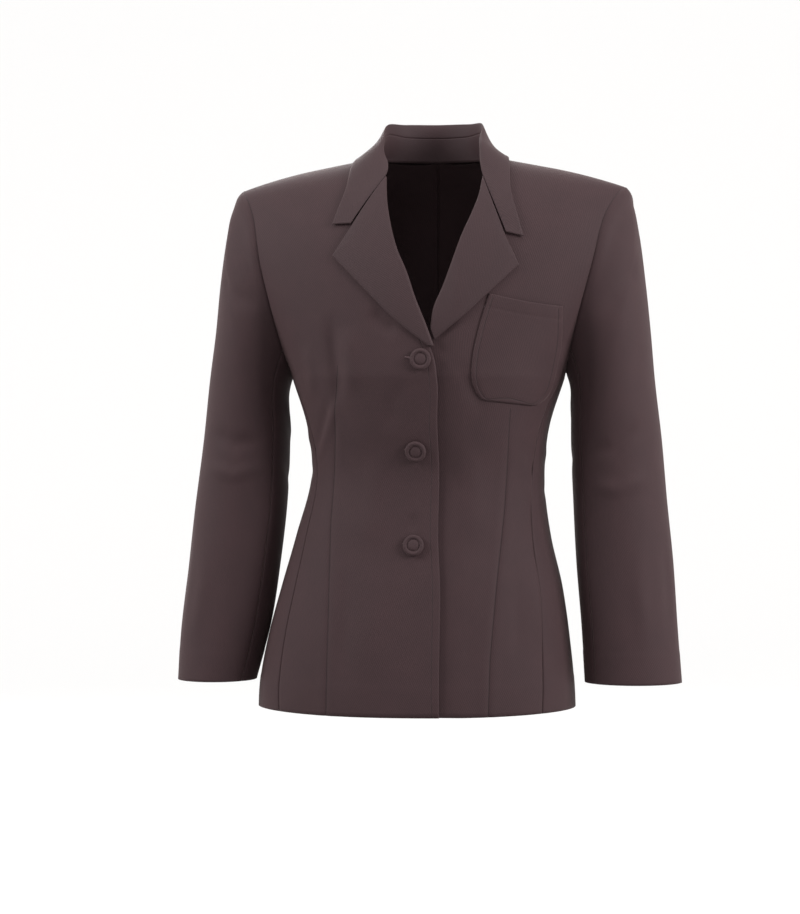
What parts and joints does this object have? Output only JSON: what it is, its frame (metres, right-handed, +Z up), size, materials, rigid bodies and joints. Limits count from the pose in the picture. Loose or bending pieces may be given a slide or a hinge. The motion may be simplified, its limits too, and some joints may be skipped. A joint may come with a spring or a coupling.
{
  "type": "single breasted blazer",
  "caption": "Hollow worn-form blazer with notched lapels, a turned collar, two-piece set-in sleeves, a patch breast pocket and covered buttons.",
  "frame": {"origin": "the middle of the wearer's shoulder line, on the centre plane between the two points where the neck seam meets the shoulder seams", "axes": "+Z up along the wearer's spine, -Y out of the chest, +X to the wearer's left"},
  "size_m": [0.5607, 0.2413, 0.6566],
  "materials": {
    "coat_cloth": "fine wool suiting, matt with a soft sheen",
    "lapel_cloth": "the same suiting over a canvas, pressed",
    "button_cloth": "the same suiting stretched over a rimmed disc"
  },
  "bodies": {
    "root": {"front_right": "coat_cloth", "front_left": "coat_cloth", "side_right": "coat_cloth", "side_left": "coat_cloth", "back_right": "coat_cloth", "back_left": "coat_cloth", "top_sleeve_right": "coat_cloth", "top_sleeve_left": "coat_cloth", "under_sleeve_right": "coat_cloth", "under_sleeve_left": "coat_cloth", "lapel_right": "lapel_cloth", "lapel_left": "lapel_cloth", "collar_leaf": "lapel_cloth", "collar_stand": "lapel_cloth", "breast_pocket": "coat_cloth", "button_1": "button_cloth", "button_2": "button_cloth", "button_3": "button_cloth"}
  },
  "joints": []
}
